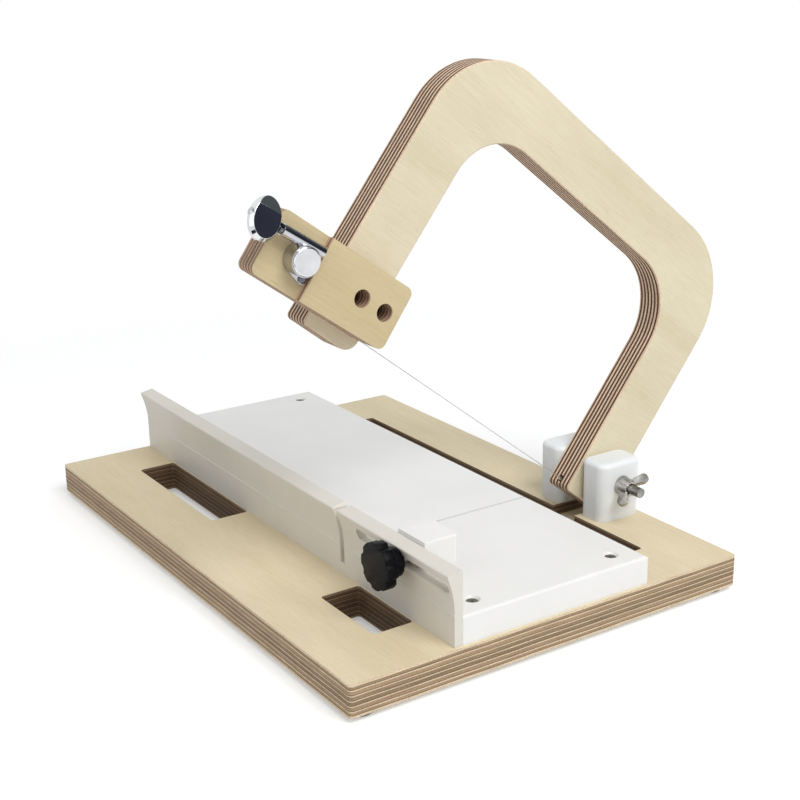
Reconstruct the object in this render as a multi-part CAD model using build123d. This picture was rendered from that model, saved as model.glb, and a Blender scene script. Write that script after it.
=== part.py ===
from build123d import *
import math
import os

# Wire soap cutter: a plywood base with a plastic bed and fence, and a hinged plywood bow that holds
# a taut wire. X runs along the base to the operator's right, Y from the operator to the hinge, Z up.
# The origin is the centre of the base, on the plane that the feet stand on.

# Base board
base_length = 360.0
base_width = 254.0
board_thickness = 18.0
base_corner_radius = 2.5
window_width = 24.0
long_window_length = 104.0
short_window_length = 52.0
window_left_margin = 40.0
window_right_margin = 37.0
window_corner_radius = 2.0
window_to_fence = 0.5
hinge_strip = 36.5

# Rubber feet
foot_height = 3.0
foot_diameter = 16.0
foot_inset = 11.0
foot_edge_radius = 0.8

# Plastic bed and the cut that the wire sinks into
bed_length = 357.0
bed_to_hinge = 33.5
bed_thickness = 16.0
bed_edge_radius = 1.5
wire_to_bed_end = 104.5
kerf_width = 1.5
kerf_floor_height = 7.0

# Countersunk screws of the bed
bed_screw_end_inset = 13.0
bed_screw_edge_inset = 15.0
bed_screw_length = 30.0
bed_screw_diameter = 4.5
bed_screw_head_diameter = 8.4
bed_screw_head_height = 2.4

# Fence along the front edge of the bed, flared towards the operator
fence_setback = 61.5
fence_thickness = 5.0
fence_height = 41.0
flare_start_height = 18.0
flare_reach = 4.4
lip_drop = 1.7
lip_radius = 0.9
bead_height = 1.2
bead_reach = 0.35

# Slot of the adjustable stop
slot_height = 6.0
slot_centre_height = 31.5
slot_start = 18.0
slot_end_margin = 2.5

# Stop block and its clamping knob
slice_thickness = 48.0
stop_width = 24.0
stop_depth = 21.5
stop_height = 15.0
stop_above_fence = 1.0
stop_corner_radius = 3.5
stop_edge_radius = 0.8
stud_diameter = 5.0
stud_depth_in_stop = 15.0
stud_depth_in_knob = 8.0
stud_tip_room = 1.0
knob_diameter = 28.0
knob_thickness = 8.0
knob_edge_radius = 1.4
knob_hub_diameter = 16.5
knob_hub_length = 5.0
knob_lobes = 7
knob_notch_radius = 3.0

# Hinge blocks, their screws, the pivot bolt and its wing nut
block_thickness = 20.0
block_depth = 31.0
block_height = 36.0
block_corner_radius = 6.0
block_top_radius = 3.0
block_rear_inset = 1.5
pivot_height = 21.2
hinge_side_gap = 0.3
pocket_depth = 7.0
pocket_side_room = 0.6
block_screw_length = 34.0
block_screw_diameter = 4.5
block_screw_head_diameter = 9.0
block_screw_head_height = 2.7
block_screw_spacing = 17.0
bolt_diameter = 6.0
bolt_length = 70.0
bolt_head_width = 10.0
bolt_head_height = 4.0
bolt_tip_chamfer = 0.6
nut_base_diameter = 12.0
nut_top_diameter = 9.0
nut_height = 8.0
wing_span = 25.0
wing_reach = 13.0
wing_width = 7.0
wing_thickness = 2.4
wing_turn = 35.0

# Bow of plywood, drawn with its wire level, as it lies when the cut is finished
raised_tilt = 38.0
opened_tilt = 100.0
bow_length = 253.0
limb_width = 35.0
bow_rise = 154.5
front_limb_drop = 23.5
rear_limb_drop = 18.5
front_outer_radius = 46.0
front_inner_radius = 32.0
rear_outer_radius = 51.0
rear_inner_radius = 38.0
front_heel_radius = 8.0
limb_end_radius = 3.0
bow_edge_radius = 0.8

# Wire, its hole through both limbs and its anchor
wire_diameter = 0.5
wire_drop = 13.5
wire_hole_diameter = 2.0
wire_mouth_diameter = 4.0
wire_mouth_depth = 4.0
anchor_bore_diameter = 6.0
anchor_bore_depth = 8.0
anchor_diameter = 4.4
anchor_waist_diameter = 2.8
anchor_width = 3.2
anchor_flange = 0.7
wire_bend_radius = 5.0
wire_bend_outside = 1.0
winding_pitch = 0.65
winding_turns = 3

# Block on the front limb that carries the tuning machine
tuner_block_length = 87.0
tuner_block_height = 35.0
tuner_block_overhang = 2.0
tuner_block_rise = 1.7
tuner_block_tilt = 2.4
tuner_block_radius = 4.0
shelf_length = 30.0
shelf_relief = 4.2
block_bore_diameter = 9.5
block_bore_depth = 12.0
clamp_screw_spacing = 16.0
clamp_screw_end_distance = 9.65
clamp_screw_length = 20.0
clamp_screw_diameter = 4.0
clamp_screw_head_diameter = 8.0
clamp_screw_head_height = 2.6

# Tuning machine, a worm drive that turns the string post
post_from_block_end = 19.5
tuner_turn = 2.5
housing_radius = 8.0
housing_wall = 0.9
housing_floor = 2.0
housing_height = 9.3
cover_thickness = 1.5
cover_edge_radius = 0.9
cover_step = 0.6
worm_offset = 8.0
worm_height = 6.0
barrel_diameter = 6.2
barrel_front = 18.0
barrel_back = 8.0
barrel_end_wall = 1.5
worm_diameter = 3.2
worm_shaft_diameter = 3.0
worm_collar_diameter = 5.2
worm_collar_length = 2.0
gear_teeth = 14
gear_tip_diameter = 12.6
gear_root_diameter = 10.4
gear_thickness = 3.8
post_diameter = 6.0
post_collar_diameter = 8.0
post_spigot_diameter = 4.0
post_past_board = 13.0
post_waist_diameter = 5.2
post_waist_length = 4.6
post_hole_diameter = 1.6
gear_screw_head_diameter = 4.6
gear_screw_head_height = 1.0
gear_screw_diameter = 2.2
gear_screw_length = 5.0
web_half_width = 6.5
web_height = 4.0
web_reach = 1.5
ear_radius = 2.6
ear_distance = 10.3
ear_angle = -50.0
ear_screw_diameter = 2.2
ear_screw_length = 9.0
ear_screw_head_diameter = 4.4
ear_screw_head_height = 1.4
board_bore_diameter = 10.0
boss_diameter = 9.6
boss_length = 5.0
bush_tube_diameter = 8.0
bush_hex_width = 12.0
bush_hex_height = 2.5
bush_end_gap = 0.4
washer_diameter = 15.0
washer_thickness = 0.8
button_length = 17.0
button_width = 21.5
button_thickness = 8.6
button_face_share = 0.62
button_rim_share = 0.22
button_gap = 0.4
button_screw_head_diameter = 4.2
button_screw_head_height = 1.3
button_screw_diameter = 2.0
button_screw_length = 6.0

# Gaps and overruns
overrun = 2.0
turn_gap = 0.08
seat_gap = 0.1
screw_gap = 0.05

# Places worked out from the sizes
base_top = foot_height + board_thickness
bed_top = base_top + bed_thickness
fence_front = fence_setback - base_width / 2
fence_back = fence_front + fence_thickness
fence_top = base_top + fence_height
bed_rear = base_width / 2 - block_rear_inset - block_depth - bed_to_hinge
kerf_floor = base_top + kerf_floor_height
wire_plane = bed_length / 2 - wire_to_bed_end
slot_level = base_top + slot_centre_height
slot_left = wire_plane + slot_start
slot_right = bed_length / 2 - slot_end_margin
stop_left = wire_plane + slice_thickness
stop_centre = stop_left + stop_width / 2
stop_top = fence_top + stop_above_fence
lip_front = fence_front - flare_reach
hub_back = lip_front - seat_gap
pivot_y = base_width / 2 - block_rear_inset - block_depth / 2
pivot_z = base_top + pivot_height
bow_left = wire_plane - board_thickness / 2
bow_right = wire_plane + board_thickness / 2
limb_half = limb_width / 2
bow_front = limb_half - bow_length
shelf_face = bow_right + board_thickness - shelf_relief
block_back_end = limb_half + tuner_block_overhang
block_front_end = block_back_end - tuner_block_length
post_place = block_front_end + post_from_block_end
board_under_machine = board_thickness - shelf_relief

# The bow's own frame has its origin on the pivot, Y back along the wire and Z square to it.
bow_place = Pos(0, pivot_y, pivot_z) * Rot(-raised_tilt, 0, 0)
limb_centre = bow_front + limb_half
tuner_block_place = Pos(0, limb_centre, tuner_block_rise) * Rot(tuner_block_tilt, 0, 0)
# The machine's own frame lies on the milled shelf: Z out of the board, X back along the block.
shelf_place = tuner_block_place * Pos(shelf_face, post_place, 0)
machine_place = shelf_place * Plane.YZ.location * Rot(0, 0, tuner_turn)


def cylinder_along(direction, radius, start, length):
    """Return a cylinder from a start point along a direction."""
    return extrude(Plane(start, z_dir=direction) * Circle(radius), length)


def box_between(low, high):
    """Return the box between two opposite corners."""
    size = [high[i] - low[i] for i in range(3)]
    return Pos(*low) * Box(*size, align=(Align.MIN, Align.MIN, Align.MIN))


def countersunk_screw(length, diameter, head_diameter, head_height):
    """Return a countersunk screw that points down, with the middle of its flat head at the origin."""
    outline = Polyline(
        (0, 0),
        (head_diameter / 2, 0),
        (diameter / 2, -head_height),
        (diameter / 2, diameter - length),
        (0, -length),
        close=True,
    )
    return revolve(Plane.XZ * make_face(outline), Axis.Z)


def countersunk_hole(length, diameter, head_diameter, head_height):
    """Return the cut for a countersunk screw, a little wider than it and open past the head."""
    radius = diameter / 2 + screw_gap
    head_radius = head_diameter / 2 + screw_gap
    outline = Polyline(
        (0, overrun),
        (head_radius, overrun),
        (head_radius, 0),
        (radius, -head_height),
        (radius, -length),
        (0, -length),
        close=True,
    )
    return revolve(Plane.XZ * make_face(outline), Axis.Z)


def pan_screw(length, diameter, head_diameter, head_height):
    """Return a pan head screw that points down, with its head seated on the plane of the origin."""
    outline = Polyline(
        (0, head_height),
        (head_diameter / 4, head_height),
        (head_diameter / 2, head_height / 2),
        (head_diameter / 2, 0),
        (diameter / 2, 0),
        (diameter / 2, diameter - length),
        (0, -length),
        close=True,
    )
    return revolve(Plane.XZ * make_face(outline), Axis.Z)


def make_base_board():
    """Return the plywood board with its windows, hinge pocket and screw holes."""
    board = Pos(0, 0, foot_height) * extrude(
        RectangleRounded(base_length, base_width, base_corner_radius), board_thickness
    )
    front_window_rear = fence_front - window_to_fence
    window_left = window_left_margin - base_length / 2
    window_right = base_length / 2 - window_right_margin
    rear_window_rear = base_width / 2 - hinge_strip
    windows = [
        (window_left, long_window_length, front_window_rear),
        (window_right - short_window_length, short_window_length, front_window_rear),
        (window_left, window_right - window_left, rear_window_rear),
    ]
    for left, length, rear in windows:
        opening = extrude(
            RectangleRounded(length, window_width, window_corner_radius),
            board_thickness + 2 * overrun,
        )
        board -= Pos(left + length / 2, rear - window_width / 2, foot_height - overrun) * opening
    pocket_half = board_thickness / 2 + hinge_side_gap + pocket_side_room
    board -= box_between(
        (wire_plane - pocket_half, rear_window_rear - overrun, base_top - pocket_depth),
        (wire_plane + pocket_half, base_width / 2 + overrun, base_top + overrun),
    )
    for place in bed_screw_places():
        board -= place * cylinder_along(
            (0, 0, -1), bed_screw_diameter / 2 + screw_gap, (0, 0, 0), bed_screw_length + seat_gap
        )
    for place in block_screw_places():
        board -= place * countersunk_hole(
            board_thickness + overrun,
            block_screw_diameter,
            block_screw_head_diameter,
            block_screw_head_height,
        )
    return board


def bed_screw_places():
    """Return the places of the bed's four screws, on the bed's top."""
    x = bed_length / 2 - bed_screw_end_inset
    rows = (fence_back + bed_screw_edge_inset, bed_rear - bed_screw_edge_inset)
    return [Pos(side * x, row, bed_top) for side in (-1, 1) for row in rows]


def block_screw_places():
    """Return the places of the hinge blocks' screws, pointing up from under the board."""
    x = board_thickness / 2 + hinge_side_gap + block_thickness / 2
    step = block_screw_spacing / 2
    return [
        Pos(wire_plane + side * x, pivot_y + along * step, foot_height) * Rot(180, 0, 0)
        for side in (-1, 1)
        for along in (-1, 1)
    ]


def make_feet():
    """Return the four rubber feet."""
    foot = cylinder_along((0, 0, 1), foot_diameter / 2, (0, 0, 0), foot_height)
    foot = fillet(foot.edges().group_by(Axis.Z)[0], foot_edge_radius)
    x = base_length / 2 - foot_inset
    y = base_width / 2 - foot_inset
    return [Pos(i * x, j * y, 0) * foot for i in (-1, 1) for j in (-1, 1)]


def make_bed():
    """Return the bed with the wire's cut across its top and its screw holes."""
    bed = box_between(
        (-bed_length / 2, fence_back, base_top), (bed_length / 2, bed_rear, bed_top)
    )
    top_edges = bed.edges().group_by(Axis.Z)[-1].sort_by(Axis.Y)[1:]
    bed = fillet(top_edges, bed_edge_radius)
    bed -= wire_kerf()
    for place in bed_screw_places():
        bed -= place * countersunk_hole(
            bed_thickness + overrun, bed_screw_diameter, bed_screw_head_diameter, bed_screw_head_height
        )
    return bed


def wire_kerf():
    """Return the thin cut for the wire, through the fence and across the bed."""
    return box_between(
        (wire_plane - kerf_width / 2, lip_front - overrun, kerf_floor),
        (wire_plane + kerf_width / 2, bed_rear + overrun, stop_top + overrun),
    )


def make_fence():
    """Return the flared fence with the wire's cut and the stop's slot."""
    bead_level = base_top + flare_start_height
    outer_foot = (fence_front, base_top)
    bead_bottom = (fence_front, bead_level - bead_height)
    bead_front = (fence_front - bead_reach, bead_level - bead_height / 2)
    flare_foot = (fence_front, bead_level)
    lip = (lip_front, fence_top - lip_drop)
    flare_height = fence_top - lip_drop - bead_level
    flare_radius = (flare_height**2 + flare_reach**2) / (2 * flare_reach)
    half_turn = math.asin(flare_height / flare_radius) / 2
    flare_middle = (
        fence_front - flare_radius * (1 - math.cos(half_turn)),
        bead_level + flare_radius * math.sin(half_turn),
    )
    outline = [
        Line(outer_foot, bead_bottom),
        ThreePointArc(bead_bottom, bead_front, flare_foot),
        ThreePointArc(flare_foot, flare_middle, lip),
        Line(lip, (fence_back, fence_top)),
        Line((fence_back, fence_top), (fence_back, base_top)),
        Line((fence_back, base_top), outer_foot),
    ]
    profile = make_face(Curve() + outline)
    top_corners = profile.vertices().sort_by(Axis.Y)[-2:]
    profile = fillet(top_corners, lip_radius)
    fence = extrude(Plane.YZ.offset(-bed_length / 2) * profile, bed_length)
    slot = Plane.XZ * SlotOverall(slot_right - slot_left, slot_height)
    slot = Pos((slot_left + slot_right) / 2, 0, slot_level) * slot
    slot_cut = Pos(0, fence_back + overrun, 0) * extrude(
        slot, flare_reach + fence_thickness + 2 * overrun
    )
    return fence - slot_cut - wire_kerf()


def make_stop_block():
    """Return the sliding stop with the blind hole for the knob's stud."""
    face = fence_back + seat_gap
    block = box_between(
        (stop_left, face, stop_top - stop_height),
        (stop_left + stop_width, face + stop_depth, stop_top),
    )
    rear_corners = block.edges().filter_by(Axis.Z).group_by(Axis.Y)[-1]
    block = fillet(rear_corners, stop_corner_radius)
    block = fillet(block.edges().group_by(Axis.Z)[-1].sort_by(Axis.Y)[1:], stop_edge_radius)
    hole_radius = stud_diameter / 2 + turn_gap
    hole_depth = stud_depth_in_stop + stud_tip_room + overrun
    return block - cylinder_along(
        (0, 1, 0), hole_radius, (stop_centre, face - overrun, slot_level), hole_depth
    )


def make_knob():
    """Return the lobed clamping knob with the hole that its stud is moulded into."""
    head_back = hub_back - knob_hub_length
    head = Circle(knob_diameter / 2)
    notch_ring = knob_diameter / 2 + knob_notch_radius / 2
    for place in PolarLocations(notch_ring, knob_lobes):
        head -= place * Circle(knob_notch_radius)
    head = fillet(head.vertices(), knob_notch_radius / 2)
    body = extrude(head, knob_thickness)
    body = fillet(body.edges().group_by(Axis.Z)[-1], knob_edge_radius)
    body += Pos(0, 0, -knob_hub_length) * Cylinder(
        knob_hub_diameter / 2, knob_hub_length, align=(Align.CENTER, Align.CENTER, Align.MIN)
    )
    body -= Pos(0, 0, -knob_hub_length - overrun) * Cylinder(
        stud_diameter / 2,
        stud_depth_in_knob + overrun,
        align=(Align.CENTER, Align.CENTER, Align.MIN),
    )
    return Pos(stop_centre, head_back, slot_level) * Rot(90, 0, 0) * body


def make_stud():
    """Return the steel stud that joins the knob to the stop block."""
    front = hub_back - stud_depth_in_knob
    back = fence_back + seat_gap + stud_depth_in_stop
    return cylinder_along((0, 1, 0), stud_diameter / 2, (stop_centre, front, slot_level), back - front)


def make_hinge_block(side):
    """Return the hinge block on one side of the bow: -1 is the left one, 1 the right one."""
    block = extrude(RectangleRounded(block_thickness, block_depth, block_corner_radius), block_height)
    block = fillet(block.edges().group_by(Axis.Z)[-1], block_top_radius)
    x = wire_plane + side * (board_thickness / 2 + hinge_side_gap + block_thickness / 2)
    block = Pos(x, pivot_y, base_top) * block
    block -= cylinder_along(
        (1, 0, 0),
        bolt_diameter / 2 + turn_gap,
        (x - block_thickness / 2 - overrun, pivot_y, pivot_z),
        block_thickness + 2 * overrun,
    )
    for place in block_screw_places():
        block -= place * cylinder_along(
            (0, 0, -1), block_screw_diameter / 2 + screw_gap, (0, 0, 0), block_screw_length + seat_gap
        )
    return block


def make_pivot_bolt():
    """Return the hexagon bolt that the bow turns on."""
    seat = bow_left - hinge_side_gap - block_thickness
    shank = cylinder_along((1, 0, 0), bolt_diameter / 2, (seat, pivot_y, pivot_z), bolt_length)
    shank = chamfer(shank.edges().group_by(Axis.X)[-1], bolt_tip_chamfer)
    hexagon = RegularPolygon(bolt_head_width / 2, 6, major_radius=False)
    head = extrude(Plane((seat, pivot_y, pivot_z), z_dir=(-1, 0, 0)) * hexagon, bolt_head_height)
    return shank + head


def make_wing_nut():
    """Return the wing nut on the bolt's free end."""
    seat = bow_right + hinge_side_gap + block_thickness
    hub = Cone(
        nut_base_diameter / 2,
        nut_top_diameter / 2,
        nut_height,
        align=(Align.CENTER, Align.CENTER, Align.MIN),
    )
    root = nut_top_diameter / 4
    neck = nut_height / 4
    tip_radius = wing_width / 2
    tip_x = wing_span / 2 - tip_radius
    tip_z = wing_reach - tip_radius
    wing = make_hull(
        [
            *(Pos(tip_x, tip_z) * Circle(tip_radius)).edges(),
            *(Pos(root, neck + nut_height / 4) * Circle(neck)).edges(),
        ]
    )
    wings = extrude(Plane.XZ * wing, wing_thickness / 2, both=True)
    nut = hub + wings + mirror(wings, Plane.YZ)
    nut -= Cylinder(bolt_diameter / 2 + turn_gap, wing_reach + 2 * overrun + nut_height)
    return Pos(seat, pivot_y, pivot_z) * Rot(wing_turn, 0, 0) * Plane.YZ.location * nut


def make_bow():
    """Return the bow in its own frame, with its pivot hole, wire holes and anchor bore."""
    inner_front = bow_front + limb_width
    inner_top = bow_rise - limb_width
    corners = [
        ((bow_front, -front_limb_drop), limb_end_radius),
        ((bow_front, bow_rise), front_outer_radius),
        ((limb_half, bow_rise), rear_outer_radius),
        ((limb_half, -rear_limb_drop), limb_end_radius),
        ((-limb_half, -rear_limb_drop), limb_end_radius),
        ((-limb_half, inner_top), rear_inner_radius),
        ((inner_front, inner_top), front_inner_radius),
        ((inner_front, -front_limb_drop), front_heel_radius),
    ]
    outline = FilletPolyline(
        *[point for point, _ in corners], radius=[radius for _, radius in corners], close=True
    )
    bow = extrude(Plane.YZ.offset(bow_left) * make_face(outline), board_thickness)
    bow = fillet(bow.edges().group_by(Axis.X)[0] + bow.edges().group_by(Axis.X)[-1], bow_edge_radius)
    bow -= cylinder_along(
        (1, 0, 0),
        bolt_diameter / 2 + turn_gap,
        (bow_left - overrun, 0, 0),
        board_thickness + 2 * overrun,
    )
    bow -= cylinder_along(
        (0, 1, 0),
        wire_hole_diameter / 2,
        (wire_plane, bow_front - overrun, -wire_drop),
        bow_length + 2 * overrun,
    )
    bow -= cylinder_along(
        (0, -1, 0),
        wire_mouth_diameter / 2,
        (wire_plane, wire_mouth_depth - limb_half, -wire_drop),
        wire_mouth_depth + overrun,
    )
    bow -= cylinder_along(
        (0, -1, 0),
        anchor_bore_diameter / 2,
        (wire_plane, limb_half + overrun, -wire_drop),
        anchor_bore_depth + overrun,
    )
    for place in clamp_screw_places():
        bow -= place * cylinder_along(
            (0, 0, -1), clamp_screw_diameter / 2 + screw_gap, (0, 0, 0), clamp_screw_length + seat_gap
        )
    return bow


def clamp_screw_places():
    """Return the places of the tuner block's screws, on the floors of their bores."""
    head_x = bow_right + board_thickness - block_bore_depth
    last = block_back_end - clamp_screw_end_distance
    return [
        tuner_block_place * Pos(head_x, last - i * clamp_screw_spacing, 0) * Rot(0, 90, 0)
        for i in range(2)
    ]


def make_tuner_block():
    """Return the block that carries the tuning machine, in the bow's frame."""
    middle = (block_front_end + block_back_end) / 2
    outline = Plane.YZ * RectangleRounded(tuner_block_length, tuner_block_height, tuner_block_radius)
    block = Pos(bow_right, middle, 0) * extrude(outline, board_thickness)
    half_height = tuner_block_height / 2 + overrun
    block -= box_between(
        (shelf_face, block_front_end - overrun, -half_height),
        (bow_right + board_thickness + overrun, block_front_end + shelf_length, half_height),
    )
    block = tuner_block_place * block
    for place in clamp_screw_places():
        block -= place * cylinder_along(
            (0, 0, 1), block_bore_diameter / 2, (0, 0, 0), block_bore_depth + overrun
        )
        block -= place * cylinder_along(
            (0, 0, -1), clamp_screw_diameter / 2 + screw_gap, (0, 0, 0), board_thickness
        )
    block -= machine_place * cylinder_along(
        (0, 0, -1), board_bore_diameter / 2, (0, 0, overrun), board_thickness + overrun
    )
    return block - machine_place * ear_screw_place() * cylinder_along(
        (0, 0, -1), ear_screw_diameter / 2 + screw_gap, (0, 0, 0), ear_screw_length + seat_gap
    )


def ear_screw_place():
    """Return the place of the mounting ear's screw, on top of the housing's floor plate."""
    angle = math.radians(ear_angle)
    return Pos(ear_distance * math.cos(angle), ear_distance * math.sin(angle), housing_floor)


def make_tuner_housing():
    """Return the die-cast housing: floor plate with ear, gear chamber, worm barrel and boss."""
    ear = ear_screw_place()
    ear_flat = Pos(ear.position.X, ear.position.Y) * Circle(ear_radius)
    plate = make_hull([*Circle(housing_radius).edges(), *ear_flat.edges()])
    housing = extrude(plate, housing_floor)
    housing += box_between((-web_half_width, 0, 0), (web_half_width, worm_offset + web_reach, web_height))
    housing += cylinder_along((0, 0, 1), housing_radius, (0, 0, 0), housing_height)
    barrel_length = barrel_front + barrel_back
    housing += cylinder_along(
        (1, 0, 0), barrel_diameter / 2, (-barrel_front, worm_offset, worm_height), barrel_length
    )
    housing += cylinder_along((0, 0, -1), boss_diameter / 2, (0, 0, 0), boss_length)
    housing -= cylinder_along(
        (0, 0, 1), housing_radius - housing_wall, (0, 0, housing_floor), housing_height
    )
    housing -= cylinder_along(
        (1, 0, 0),
        worm_diameter / 2 + turn_gap,
        (-barrel_front - overrun, worm_offset, worm_height),
        barrel_length + overrun - barrel_end_wall,
    )
    housing -= cylinder_along(
        (0, 0, -1), bush_tube_diameter / 2 + screw_gap, (0, 0, -bush_end_gap), boss_length + overrun
    )
    housing -= cylinder_along(
        (0, 0, -1),
        post_diameter / 2 + turn_gap,
        (0, 0, housing_floor + overrun),
        housing_floor + 2 * overrun,
    )
    return housing - ear * cylinder_along(
        (0, 0, -1), ear_screw_diameter / 2 + screw_gap, (0, 0, overrun), housing_floor + 2 * overrun
    )


def make_tuner_cover():
    """Return the crowned cap that closes the gear chamber."""
    cover = cylinder_along(
        (0, 0, 1), housing_radius - cover_step, (0, 0, housing_height), cover_thickness
    )
    return fillet(cover.edges().group_by(Axis.Z)[-1], cover_edge_radius)


def make_tuner_gear():
    """Return the worm wheel with its teeth and bore."""
    root = gear_root_diameter / 2
    tip = gear_tip_diameter / 2
    wheel = Circle(root)
    pitch_angle = 2 * math.pi / gear_teeth
    foot_half = root * pitch_angle / 4
    tip_half = tip * pitch_angle / 8
    overlap = root - (tip - root)
    tooth = make_face(
        Polyline(
            (overlap, -foot_half),
            (root, -foot_half),
            (tip, -tip_half),
            (tip, tip_half),
            (root, foot_half),
            (overlap, foot_half),
            close=True,
        )
    )
    for i in range(gear_teeth):
        wheel += Rot(0, 0, math.degrees((i + 1 / 2) * pitch_angle)) * tooth
    wheel -= Circle(post_spigot_diameter / 2 + screw_gap)
    return Pos(0, 0, worm_height - gear_thickness / 2) * extrude(wheel, gear_thickness)


def make_tuner_post():
    """Return the string post with its collar, waist, string hole and gear spigot."""
    gear_bottom = worm_height - gear_thickness / 2
    gear_top = worm_height + gear_thickness / 2
    tip = -board_under_machine - post_past_board
    string_level = -board_under_machine - board_thickness / 2
    post = cylinder_along((0, 0, 1), post_diameter / 2, (0, 0, tip), gear_bottom - tip)
    post = chamfer(post.edges().group_by(Axis.Z)[0], bolt_tip_chamfer)
    post += cylinder_along(
        (0, 0, 1),
        post_collar_diameter / 2,
        (0, 0, housing_floor + seat_gap),
        gear_bottom - housing_floor - seat_gap,
    )
    post += cylinder_along((0, 0, 1), post_spigot_diameter / 2, (0, 0, 0), gear_top)
    waist = cylinder_along(
        (0, 0, 1),
        post_diameter / 2 + overrun,
        (0, 0, string_level - post_waist_length / 2),
        post_waist_length,
    )
    waist -= cylinder_along(
        (0, 0, 1),
        post_waist_diameter / 2,
        (0, 0, string_level - post_waist_length / 2 - overrun),
        post_waist_length + 2 * overrun,
    )
    post -= waist
    post -= cylinder_along(
        (0, 1, 0), post_hole_diameter / 2, (0, -post_diameter, string_level), 2 * post_diameter
    )
    return post - cylinder_along(
        (0, 0, -1),
        gear_screw_diameter / 2 + screw_gap,
        (0, 0, gear_top + overrun),
        gear_screw_length + overrun + seat_gap,
    )


def make_worm_shaft():
    """Return the worm shaft, which runs in the barrel and carries the button."""
    back = barrel_back - barrel_end_wall - turn_gap
    collar_back = -barrel_front - turn_gap
    collar_front = collar_back - worm_collar_length
    shaft = cylinder_along((-1, 0, 0), worm_diameter / 2, (back, 0, 0), back - collar_back)
    shaft += cylinder_along((-1, 0, 0), worm_collar_diameter / 2, (collar_back, 0, 0), worm_collar_length)
    shaft += cylinder_along(
        (-1, 0, 0), worm_shaft_diameter / 2, (collar_front, 0, 0), button_length / 2 + button_gap
    )
    shaft -= button_screw_hole(collar_front)
    return Pos(0, worm_offset, worm_height) * shaft


def button_screw_hole(collar_front):
    """Return the tapped hole in the shaft's end for the button's screw."""
    end = collar_front - button_gap - button_length
    return cylinder_along(
        (1, 0, 0), button_screw_diameter / 2 + screw_gap, (end - overrun, 0, 0),
        button_length / 2 + overrun + button_screw_length + button_screw_head_height,
    )


def make_tuner_button():
    """Return the bevelled button: an oval that narrows in flats towards both faces."""
    near = -barrel_front - turn_gap - worm_collar_length - button_gap
    middle = near - button_length / 2
    rim = button_thickness * button_rim_share / 2
    face = button_thickness / 2
    sections = []
    for level, share in ((-face, button_face_share), (-rim, 1), (rim, 1), (face, button_face_share)):
        oval = Ellipse(button_length / 2 * share, button_width / 2 * share)
        sections.append(Pos(0, 0, level) * oval)
    button = loft(sections[:2], ruled=True)
    button += loft(sections[1:3], ruled=True)
    button += loft(sections[2:], ruled=True)
    button = Pos(middle, 0, 0) * button
    button -= cylinder_along(
        (-1, 0, 0),
        worm_shaft_diameter / 2 + screw_gap,
        (near + overrun, 0, 0),
        button_length / 2 + overrun + seat_gap,
    )
    button -= button_screw_hole(near + button_gap)
    far = near - button_length
    button -= cylinder_along(
        (-1, 0, 0),
        button_screw_head_diameter / 2 + screw_gap,
        (far + button_screw_head_height / 2, 0, 0),
        overrun,
    )
    return Pos(0, worm_offset, worm_height) * button


def make_button_screw():
    """Return the small screw that holds the button on its shaft."""
    far = -barrel_front - turn_gap - worm_collar_length - button_gap - button_length
    screw = pan_screw(
        button_length / 2 + button_screw_length,
        button_screw_diameter,
        button_screw_head_diameter,
        button_screw_head_height,
    )
    seat = far + button_screw_head_height / 2
    return Pos(seat, worm_offset, worm_height) * Rot(0, -90, 0) * screw


def make_bush():
    """Return the hexagon bush that clamps the machine from the string side."""
    hex_top = -board_under_machine - washer_thickness
    hexagon = RegularPolygon(bush_hex_width / 2, 6, major_radius=False)
    bush = Pos(0, 0, hex_top - bush_hex_height) * extrude(hexagon, bush_hex_height)
    tube_top = -bush_end_gap - seat_gap
    bush += cylinder_along((0, 0, 1), bush_tube_diameter / 2, (0, 0, hex_top), tube_top - hex_top)
    return bush - cylinder_along(
        (0, 0, 1),
        post_diameter / 2 + turn_gap,
        (0, 0, hex_top - bush_hex_height - overrun),
        board_thickness + bush_hex_height + 2 * overrun,
    )


def make_washer():
    """Return the flat washer under the bush's hexagon."""
    ring = Circle(washer_diameter / 2) - Circle(bush_tube_diameter / 2 + screw_gap)
    return Pos(0, 0, -board_under_machine - washer_thickness) * extrude(ring, washer_thickness)


def make_wire_anchor():
    """Return the small bobbin on the wire's end, in its bore in the rear limb."""
    radius = anchor_diameter / 2
    waist = anchor_waist_diameter / 2
    half = anchor_width / 2
    inner = half - anchor_flange
    outline = Polyline(
        (0, -half),
        (radius, -half),
        (radius, -inner),
        (waist, 0),
        (radius, inner),
        (radius, half),
        (0, half),
        close=True,
    )
    bobbin = revolve(Plane.XZ * make_face(outline), Axis.Z)
    seat = limb_half - anchor_bore_depth + radius + seat_gap
    return Pos(wire_plane, seat, -wire_drop) * Rot(0, 90, 0) * bobbin


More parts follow.
